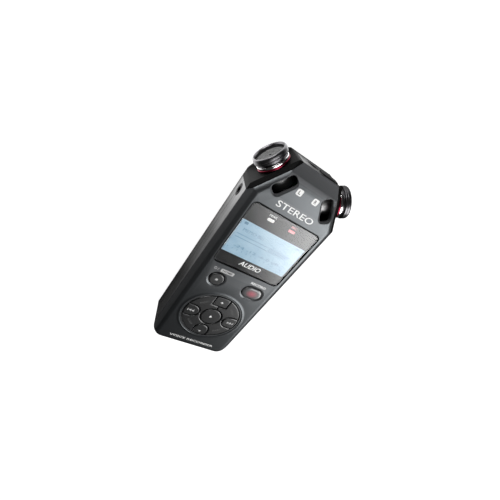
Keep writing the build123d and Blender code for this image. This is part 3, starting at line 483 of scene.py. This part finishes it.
def words(name, text, centre, size, z, material="white", body="case",
          bold=0.0, slant=0.0, turn=0.0, depth=0.03):
    """Printed lettering stretched to a width and height, lying face up; size in millimetres."""
    curve = bpy.data.curves.new(name, "FONT")
    curve.body = text
    curve.align_x = "CENTER"
    curve.align_y = "CENTER"
    curve.shear = slant
    curve.offset = bold
    curve.resolution_u = 4
    holder = bpy.data.objects.new(name + "_curve", curve)
    bpy.context.scene.collection.objects.link(holder)
    bpy.context.view_layer.update()
    flat = bpy.data.meshes.new_from_object(holder)
    bpy.data.objects.remove(holder)
    spots = [vert.co for vert in flat.vertices]
    low = Vector((min(spot.x for spot in spots), min(spot.y for spot in spots)))
    high = Vector((max(spot.x for spot in spots), max(spot.y for spot in spots)))
    bm = bmesh.new()
    bm.from_mesh(flat)
    middle = (low + high) / 2
    span = high - low
    scale = (size[0] / span.x * MM, size[1] / span.y * MM)
    for vert in bm.verts:
        x = (vert.co.x - middle.x) * scale[0]
        y = (vert.co.y - middle.y) * scale[1]
        vert.co = Vector((x, y, 0))
    bmesh.ops.rotate(bm, verts=bm.verts, matrix=Matrix.Rotation(math.radians(turn), 3, "Z"))
    bmesh.ops.translate(bm, verts=bm.verts, vec=(centre[0] * MM, centre[1] * MM, z * MM))
    raised = bmesh.ops.extrude_face_region(bm, geom=bm.faces[:])
    lifted = [g for g in raised["geom"] if isinstance(g, bmesh.types.BMVert)]
    bmesh.ops.translate(bm, verts=lifted, vec=(0, 0, depth * MM))
    bmesh.ops.remove_doubles(bm, verts=bm.verts, dist=0.0005 * MM)
    return piece_from(bm, name, material, body)


def shapes(name, outlines, z, material="white", body="case", depth=0.03):
    """Several printed solid shapes as one piece."""
    bm = bmesh.new()
    for outline in outlines:
        prism(bm, outline, z, z + depth)
    return piece_from(bm, name, material, body)


# ------------------------------------------------------------------ heights taken from the frame
def mm_box(node):
    """The low and high corners of a CAD node's box in millimetres."""
    low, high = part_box(node)
    return low / MM, high / MM


pane_low, pane_high = mm_box("display_window")
face_z = pane_high.z
lcd_high = mm_box("lcd_panel")[1]
home_low, home_high = mm_box("home_button")
rec_low, rec_high = mm_box("record_button")
play_low, play_high = mm_box("key_play")
# Printed ink starts this far above its surface, and ink printed on ink a step above that, in mm.
PRINT = 0.005
OVERPRINT = 0.035
cover_print = face_z + PRINT

# ------------------------------------------------------------------ microphones
MIC_ANGLE = math.radians(32)
# Distances out from the corner face at which the seat, the rings and the hood's neck end, in mm.
SEAT_TOP, RED_TOP, SILVER_TOP, NECK_TOP = 0.4, 1.4, 2.7, 3.9
GRILLE_OUT = 5.12
JOINT_GAP = 0.02
# The turned pieces of one microphone: piece, the CAD node that it stands for, finish, slot, ease
# of its corners, and profile as (radius, distance out from the corner face) points in mm.
TURNED = [
    ("hood", "mic_hood", "hood", "hood_metal", 0.14, [
        (5.6, SILVER_TOP + JOINT_GAP), (7.6, SILVER_TOP + JOINT_GAP), (7.6, NECK_TOP),
        (8.6, NECK_TOP), (8.98, NECK_TOP + 0.35), (8.98, 5.0), (8.88, 5.1), (8.88, 5.3),
        (8.98, 5.4), (8.98, 6.5), (8.65, 7.1), (8.4, 7.28), (8.0, 7.28), (7.45, 6.6), (7.4, 4.9),
        (5.6, 4.9),
    ]),
    ("bright_ring", "mic_silver_ring", "silver", "ring_silver", 0.12, [
        (6.5, RED_TOP + JOINT_GAP), (8.3, RED_TOP + JOINT_GAP), (8.48, RED_TOP + 0.22),
        (8.48, SILVER_TOP - 0.22), (8.3, SILVER_TOP), (6.5, SILVER_TOP),
    ]),
    ("crimson_ring", "mic_red_ring", "red", "ring_red", 0.12, [
        (6.5, SEAT_TOP + JOINT_GAP), (8.5, SEAT_TOP + JOINT_GAP), (8.68, SEAT_TOP + 0.2),
        (8.68, RED_TOP - 0.2), (8.5, RED_TOP), (6.5, RED_TOP),
    ]),
    ("rubber_seat", "mic_damper", "rubber", "damper_rubber", 0.08, [
        (6.5, -2.0), (7.28, -2.0), (7.28, 0.05), (8.18, 0.05), (8.18, SEAT_TOP), (6.5, SEAT_TOP),
    ]),
    ("barrel", "mic_barrel", "barrel", "barrel_metal", 0.15, [
        (0.05, -12.0), (6.1, -12.0), (6.5, -11.6), (6.5, SILVER_TOP), (5.62, SILVER_TOP),
        (5.62, -5.0), (0.05, -5.0),
    ]),
]
PIN_PROFILE = [(0.05, 4.93), (0.55, 4.93), (0.55, 5.4), (0.05, 5.4)]
FOAM_PROFILE = [(0.02, 4.2), (5.5, 4.2), (5.5, 4.5), (0.02, 4.5)]


def weave(bm, centre, axis, reach, pitch, wire):
    """Adds a round sheet of plain-woven wire, square to an axis; lengths in millimetres."""
    across = axis.cross(UP)
    rows = int(reach / pitch)
    for along, cross, over in ((across, UP, 1), (UP, across, -1)):
        for row in range(-rows, rows + 1):
            offset = row * pitch
            half = math.sqrt(max(reach ** 2 - offset ** 2, 0))
            stops = max(int(half * 2 / (pitch / 2)), 4)
            side = over if row % 2 else -over
            previous = None
            for stop in range(stops + 1):
                t = -half + 2 * half * stop / stops
                lift = wire * 0.8 * side * math.cos(math.pi * t / pitch)
                middle = centre + (along * t + cross * offset + axis * lift) * MM
                ring = [bm.verts.new(middle + (cross * a + axis * b) * wire * MM)
                        for a, b in ((1, 0), (0, 1), (-1, 0), (0, -1))]
                if previous:
                    join(bm, previous, ring)
                previous = ring


for hand, side in HANDS.items():
    axis = Vector((side * math.cos(MIC_ANGLE), math.sin(MIC_ANGLE), 0))
    ring_low, ring_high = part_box(f"mic_silver_ring_{hand}")
    origin = (ring_low + ring_high) / 2 - axis * (RED_TOP + SILVER_TOP) / 2 * MM
    for name, node, finish, slot, ease, profile in TURNED:
        piece = turned(f"{name}_{hand}", origin, axis, profile, ease, finish)
        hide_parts(f"{node}_{hand}")
    bm = bmesh.new()
    weave(bm, origin + axis * GRILLE_OUT * MM, axis, reach=7.3, pitch=0.42, wire=0.085)
    grille = piece_from(bm, f"woven_grille_{hand}", "mesh", "case", 80)
    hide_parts(f"mic_grille_{hand}")
    turned(f"grille_pin_{hand}", origin, axis, PIN_PROFILE, 0.1, "mount", 24)
    turned(f"foam_disc_{hand}", origin, axis, FOAM_PROFILE, 0, "rubber", 48)

# ------------------------------------------------------------------ steel rims of the jack sockets
BORE = 1.85
RIM_PROFILE = [
    (BORE, -0.6), (BORE + 0.65, -0.6), (BORE + 0.65, -0.12), (BORE + 0.5, -0.02), (BORE, -0.02),
]
for name, node, axis in (("phone", "headphone_jack", Vector((-1, 0, 0))),
                         ("mic_in", "mic_jack", Vector((0, 1, 0)))):
    low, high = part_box(node)
    mouth = (low + high) / 2 + axis * ((high - low) / 2).dot(Vector([abs(c) for c in axis]))
    turned(f"socket_rim_{name}", mouth, axis, RIM_PROFILE, 0.06, "steel", 48)

# ------------------------------------------------------------------ dark rubber pad on the top end, a painted shade
# A low-gloss black pad beside the microphone socket paints the shade on the right of the end wall.
PAD_X, PAD_Z, PAD_W, PAD_H, PAD_R = 6.4, 17.4, 10.6, 6.4, 1.2
PAD_THICK = 0.7
PAD_EASE = 0.2
PAD_SUNK = 0.05
end_face = mm_box("upper_case")[1].y
bm = bmesh.new()
rings = []
for inset, out in ((0, -PAD_SUNK), (0, PAD_THICK - PAD_EASE), (PAD_EASE, PAD_THICK)):
    outline = rounded(PAD_X, PAD_Z, PAD_W - 2 * inset, PAD_H - 2 * inset, PAD_R)
    rings.append([bm.verts.new(Vector((x, end_face + out, z)) * MM) for x, z in outline])
loft(bm, rings)
piece_from(bm, "end_shade_pad", "rubber", "case")

# ------------------------------------------------------------------ display
LCD_X, LCD_Y, LCD_W, LCD_H = 0.0, 19.3, 41.2, 21.7
pane_mid = (pane_low + pane_high) / 2
pane_size = pane_high - pane_low


def pane_outline(grow, radius):
    """The window pane's outline grown by a margin, in millimetres."""
    return rounded(pane_mid.x, pane_mid.y, pane_size.x + 2 * grow, pane_size.y + 2 * grow, radius)


# Black print behind the pane, open over the display glass.
bm = bmesh.new()
band(bm, pane_outline(-0.25, 2.0), rounded(LCD_X, LCD_Y, LCD_W, LCD_H, 0.5),
     pane_low.z + 0.05, pane_low.z + 0.09)
piece_from(bm, "pane_mask", "pane_print", "case")

# A soft black gasket fills the lower part of the gap round the pane.
GASKET = 0.67
PANE_R = 2.3
bm = bmesh.new()
band(bm, pane_outline(GASKET, PANE_R + GASKET), pane_outline(0.02, PANE_R + 0.02),
     pane_low.z + 0.02, pane_low.z + 0.4)
piece_from(bm, "pane_gasket", "rubber", "case")

guide_low, guide_high = mm_box("light_guides")
lamp_y = (guide_low.y + guide_high.y) / 2
LAMP_Z = pane_low.z + 0.1
LAMP_W, LAMP_H, LAMP_R = 4.0, 1.6, 0.45
LAMP_WORD_UP, LAMP_WORD_H = 2.5, 1.25
# The words under the pane glow with painted light, and the REC word takes its lamp's glowing ink.
for name, text, x, width, ink in (("peak", "PEAK", guide_low.x + LAMP_W / 2, 4.6, "pane_ink_painted_glow"),
                                  ("rec", "REC", guide_high.x - LAMP_W / 2, 3.6, "rec")):
    shapes(f"lamp_{name}", [rounded(x, lamp_y, LAMP_W, LAMP_H, LAMP_R)], LAMP_Z, name)
    words(f"word_{name}", text, (x, lamp_y + LAMP_WORD_UP), (width, LAMP_WORD_H), LAMP_Z, ink)
# The model word glows with the same painted light under the pane.
words("word_model", "AUDIO", (-0.3, 5.65), (14.0, 3.1), LAMP_Z, "pane_ink_painted_glow", bold=0.012, slant=0.25)

# The marks on the display glass are laid out from the left edge and the middle of the glass.
ink_z = lcd_high.z + 0.01
left = LCD_X - 19.0
ICON_Y = LCD_Y + 9.0
LINE_Y, LINE_PITCH, LINE_W, LINE_H = LCD_Y + 1.7, 2.1, 21, 0.28
TICK_Y, TICK_PITCH, TICK_W, TICK_H = LCD_Y - 8.2, 3, 0.3, 1.0
icons = [rounded(left + 1.5, ICON_Y, 2.2, 1.5, 0.3), rounded(left + 36.0, ICON_Y, 3.2, 1.4, 0.2)]
lines = [bar(left, LINE_Y - LINE_PITCH * row, LINE_W, LINE_H) for row in range(2)]
ticks = [bar(left + TICK_PITCH * tick, TICK_Y, TICK_W, TICK_H) for tick in range(13)]
shapes("lcd_marks", icons + lines + ticks, ink_z, "lcd_ink", depth=0.02)
for name, text, right, up, size in (("lcd_time", "00:00:00", 28, 0.9, (13.0, 3.0)),
                                    ("lcd_file", "MEMO 001", 8.5, 5.2, (13.0, 1.9)),
                                    ("lcd_level", "-24 -12 -6 0 dB", 18.0, -5.4, (30.0, 1.7))):
    words(name, text, (left + right, LCD_Y + up), size, ink_z, "lcd_ink",
          depth=0.02)

# ------------------------------------------------------------------ printed front legends
words("word_front", "STEREO", (0, 46.4), (23.3, 3.5), cover_print, bold=0.008)
TILE_Y, TILE_SIZE, TILE_R = 56.3, 3.5, 0.8
for letter, x in (("L", -5.3), ("R", 4.9)):
    shapes(f"tile_{letter}", [rounded(x, TILE_Y, TILE_SIZE, TILE_SIZE, TILE_R)], cover_print)
    words(f"tile_word_{letter}", letter, (x, TILE_Y), (1.3, 2.0), cover_print + OVERPRINT,
          "pane_print", bold=0.02)
words("word_record", "RECORD", (11.9, -3.5), (10.4, 1.7), cover_print, "white", bold=0.02)
words("word_bottom", "VOICE RECORDER", (0, -65.2), (31.5, 1.7), cover_print, "white", bold=0.01)

# A power mark, a slash and a filled tile with a word stand in a row between the home button and
# the display.
home_x = (home_low.x + home_high.x) / 2
home_y = (home_low.y + home_high.y) / 2
HOME_ROW_Y = -3.55
HOME_WORD_X = home_x + 3.0
POWER_X = home_x - 4.7
SLASH_X = POWER_X + 1.9
shapes("home_tile", [rounded(HOME_WORD_X, HOME_ROW_Y, 8.4, 2.4, 0.6)], cover_print, "soft_white")
words("word_home", "HOME", (HOME_WORD_X, HOME_ROW_Y), (6.2, 1.3), cover_print + OVERPRINT,
      "pane_print", bold=0.01)
bm = bmesh.new()
band(bm, circle(POWER_X, HOME_ROW_Y, 0.85), circle(POWER_X, HOME_ROW_Y, 0.62),
     cover_print, cover_print + 0.03)
prism(bm, rounded(POWER_X, HOME_ROW_Y + 0.5, 0.24, 1.1, 0.1), cover_print, cover_print + 0.04)
prism(bm, [(SLASH_X - 0.5, HOME_ROW_Y - 0.85), (SLASH_X - 0.3, HOME_ROW_Y - 0.85),
           (SLASH_X + 0.3, HOME_ROW_Y + 0.85), (SLASH_X + 0.1, HOME_ROW_Y + 0.85)],
      cover_print, cover_print + 0.03)
piece_from(bm, "power_mark", "soft_white", "case")

# ------------------------------------------------------------------ buttons
shapes("home_mark", [rounded(home_x, home_y, 1.5, 1.5, 0.15)], home_high.z + PRINT, "soft_white",
       "home_button_body")

rec_x = (rec_low.x + rec_high.x) / 2
rec_y = (rec_low.y + rec_high.y) / 2
CAP_W, CAP_H = 12.8, 8.3
CAP_SKIRT = 1.0
# The cap's edge from its side to its flat middle: (inset, depth below its top) in mm.
CAP_EDGE = [(0, 0.75), (0.12, 0.4), (0.45, 0.15), (1.0, 0.03), (2.0, 0)]
bm = bmesh.new()
rings = []
edge = [(inset, rec_high.z - drop) for inset, drop in CAP_EDGE]
for inset, z in [(0, rec_low.z + CAP_SKIRT)] + edge:
    outline = rounded(rec_x, rec_y, CAP_W - 2 * inset, CAP_H - 2 * inset, CAP_H / 2 - inset - 0.001, 16)
    rings.append([bm.verts.new((x * MM, y * MM, z * MM)) for x, y in outline])
loft(bm, rings)
cap = piece_from(bm, "record_cap", record_material(Vector((rec_x, rec_y, 0)) * MM),
                 "record_button_body")
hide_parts("record_button", "record_lens")

# Marks on the keys. The double arrows of back and forward are centred at ARROW_R from the middle
# of the pad, and the words of the quarter keys at WORD_R, in mm.
PAD_Y = (play_low.y + play_high.y) / 2
WORD_R = 13.6
ARROW_R = 13.6
key_z = play_high.z + PRINT


def key_mark(name, outlines, ink, key):
    """Printed shapes on top of one key."""
    shapes(name, outlines, key_z, ink, f"key_{key}_body")


key_mark("play_mark", [[(-0.8, PAD_Y - 1.0), (1.0, PAD_Y), (-0.8, PAD_Y + 1.0)]], "white", "play")
key_mark("up_mark", [[(-1.0, PAD_Y + 13.4), (1.0, PAD_Y + 13.4), (0, PAD_Y + 14.8)]], "white", "up")
key_mark("down_mark", [[(-1.0, PAD_Y - 14.4), (0, PAD_Y - 15.8), (1.0, PAD_Y - 14.4)]], "soft_white",
         "down")
for name, side in (("back", -1), ("forward", 1)):
    outlines = []
    for shift in (-0.9, 0.9):
        base_x = side * (ARROW_R + shift - 0.9)
        tip_x = side * (ARROW_R + shift + 0.8)
        outlines.append([(base_x, PAD_Y - 0.95), (tip_x, PAD_Y), (base_x, PAD_Y + 0.95)])
    outlines.append(rounded(side * (ARROW_R + 2.2), PAD_Y, 0.45, 1.9, 0.1))
    key_mark(f"{name}_mark", outlines, "soft_white", name)
for name, turn in (("menu", 135), ("speed", 45), ("loop", 225), ("mark", 315)):
    angle = math.radians(turn)
    spot = (WORD_R * math.cos(angle), PAD_Y + WORD_R * math.sin(angle))
    tilt = turn - 90 if turn < 180 else turn - 270
    words(f"word_{name}", name.upper(), spot, (5.4, 1.3), key_z, "dim_ink", f"key_{name}_body",
          turn=tilt)

# ------------------------------------------------------------------ floor, light, camera
def stage_material():
    material, base = new_material("floor_pale")
    cloud = object_noise(material, 3, 2)
    tint = ramp(material, cloud.outputs["Fac"], (0.24, 0.24, 0.24), (0.26, 0.26, 0.26))
    link(material, tint.outputs["Color"], base.inputs["Base Color"])
    base.inputs["Roughness"].default_value = 0.9
    base.inputs["Emission Color"].default_value = (1, 1, 1, 1)
    base.inputs["Emission Strength"].default_value = 0.95
    return material


FLOOR_HALF = 30.0
FLOOR_GAP = 0.2 * MM
bm = bmesh.new()
bmesh.ops.create_grid(bm, x_segments=8, y_segments=8, size=FLOOR_HALF)
mesh = bpy.data.meshes.new("floor")
bm.to_mesh(mesh)
bm.free()
floor = bpy.data.objects.new("floor", mesh)
floor.location.z = cad_box[0][2] - FLOOR_GAP
bpy.context.scene.collection.objects.link(floor)
mesh.materials.append(stage_material())
# The cards stand in for the floor's reflection.
floor.visible_glossy = False


def card(name, centre, facing, along, size, stops, power, only_reflected=False):
    """A glowing sheet whose light changes along its length.

    centre is its middle, facing the way it shines, along the direction of its length; stops are
    (part of the length, strength) pairs. One that is only reflected lights nothing.
    """
    material = bpy.data.materials.new(name)
    material.use_nodes = True
    tree = material.node_tree
    tree.nodes.clear()
    place = tree.nodes.new("ShaderNodeTexCoord")
    axes = tree.nodes.new("ShaderNodeSeparateXYZ")
    fade = tree.nodes.new("ShaderNodeValToRGB")
    fade.color_ramp.interpolation = "EASE"
    for _ in stops[2:]:
        fade.color_ramp.elements.new(0.5)
    for element, (position, strength) in zip(fade.color_ramp.elements, stops):
        element.position = position
        element.color = (strength, strength, strength, 1)
    glow = tree.nodes.new("ShaderNodeEmission")
    glow.inputs["Strength"].default_value = power
    out = tree.nodes.new("ShaderNodeOutputMaterial")
    tree.links.new(place.outputs["Generated"], axes.inputs["Vector"])
    tree.links.new(axes.outputs["X"], fade.inputs["Fac"])
    tree.links.new(fade.outputs["Color"], glow.inputs["Color"])
    tree.links.new(glow.outputs["Emission"], out.inputs["Surface"])
    bm = bmesh.new()
    bmesh.ops.create_grid(bm, x_segments=2, y_segments=2, size=0.5)
    sheet = bpy.data.meshes.new(name)
    bm.to_mesh(sheet)
    bm.free()
    sheet.materials.append(material)
    holder = bpy.data.objects.new(name, sheet)
    bpy.context.scene.collection.objects.link(holder)
    back = Vector(facing).normalized()
    length = Vector(along)
    length = (length - back * back.dot(length)).normalized()
    turn = Matrix((length, back.cross(length), back)).transposed().to_4x4()
    holder.matrix_world = (Matrix.Translation(Vector(centre)) @ turn
                           @ Matrix.Diagonal((size[0], size[1], 1, 1)))
    holder.visible_camera = False
    holder.visible_diffuse = not only_reflected
    holder.visible_shadow = not only_reflected


# The soft box hangs over the upper right and fades out towards the middle.
SWEEP = Vector((0.78, 0.62, 0))
ACROSS = Vector((-0.62, 0.78, 0))
BOX_LENGTH, BOX_WIDTH, BOX_HEIGHT = 0.70, 0.84, 0.5
BOX_START, BOX_ASIDE = -0.02, -0.54
box_centre = SWEEP * (BOX_START + BOX_LENGTH / 2) + ACROSS * BOX_ASIDE + UP * BOX_HEIGHT
card("soft_box", box_centre, -UP, SWEEP, (BOX_LENGTH, BOX_WIDTH),
     [(0.0, 0.0), (0.35, 1.0), (1.0, 1.0)], 8.0)

# A small panel low on the upper left catches the rims of the hoods.
RIM_SPOT = Vector((-0.48, 0.38, 0.20))
card("rim_panel", RIM_SPOT, -RIM_SPOT, UP, (0.22, 0.34), [(0.0, 0.3), (0.5, 1.0), (1.0, 0.6)], 14.0)

# A strip beside the left wall is bright at the microphone end, and one beyond the top end is
# brighter on the left. Both lie just above the floor.
STRIP_UP = 0.6 * MM
card("left_strip", (-0.279, -0.02, STRIP_UP), UP, (0, 1, 0), (0.36, 0.50),
     [(0.0, 0.0), (0.44, 0.02), (0.55, 0.14), (0.60, 0.36), (0.68, 1.0)], 3.2, only_reflected=True)
card("end_strip", (0, 0.151, STRIP_UP), UP, (1, 0, 0), (0.12, 0.16),
     [(0.0, 1.0), (0.42, 1.0), (0.56, 0.25), (1.0, 0.15)], 2.4, only_reflected=True)

world = bpy.data.worlds.new("studio")
world.use_nodes = True
world.node_tree.nodes["Background"].inputs["Color"].default_value = (1, 1, 1, 1)
world.node_tree.nodes["Background"].inputs["Strength"].default_value = 0.03
bpy.context.scene.world = world
bpy.context.scene.view_settings.view_transform = "Standard"

# The camera looks down on the front from beyond the upper left, turned so that the recorder lies
# diagonally in the picture. EYE_RIGHT and EYE_BACK point to its right and behind it.
EYE = Vector((-70.8, 86.05, 154.5)) * MM
EYE_RIGHT = Vector((0.8205, 0.5602, 0.1133))
EYE_BACK = Vector((-0.4061, 0.4319, 0.8053))
lens = bpy.data.cameras.new("camera")
lens.sensor_width = 36.0
lens.lens = 21.29
lens.shift_x = -0.0066
lens.shift_y = -0.0013
lens.clip_start = 0.005
camera = bpy.data.objects.new("camera", lens)
eye_up = EYE_BACK.cross(EYE_RIGHT).normalized()
eye_right = eye_up.cross(EYE_BACK).normalized()
turn = Matrix((eye_right, eye_up, EYE_BACK)).transposed().to_4x4()
camera.matrix_world = Matrix.Translation(EYE) @ turn
bpy.context.scene.collection.objects.link(camera)
bpy.context.scene.camera = camera
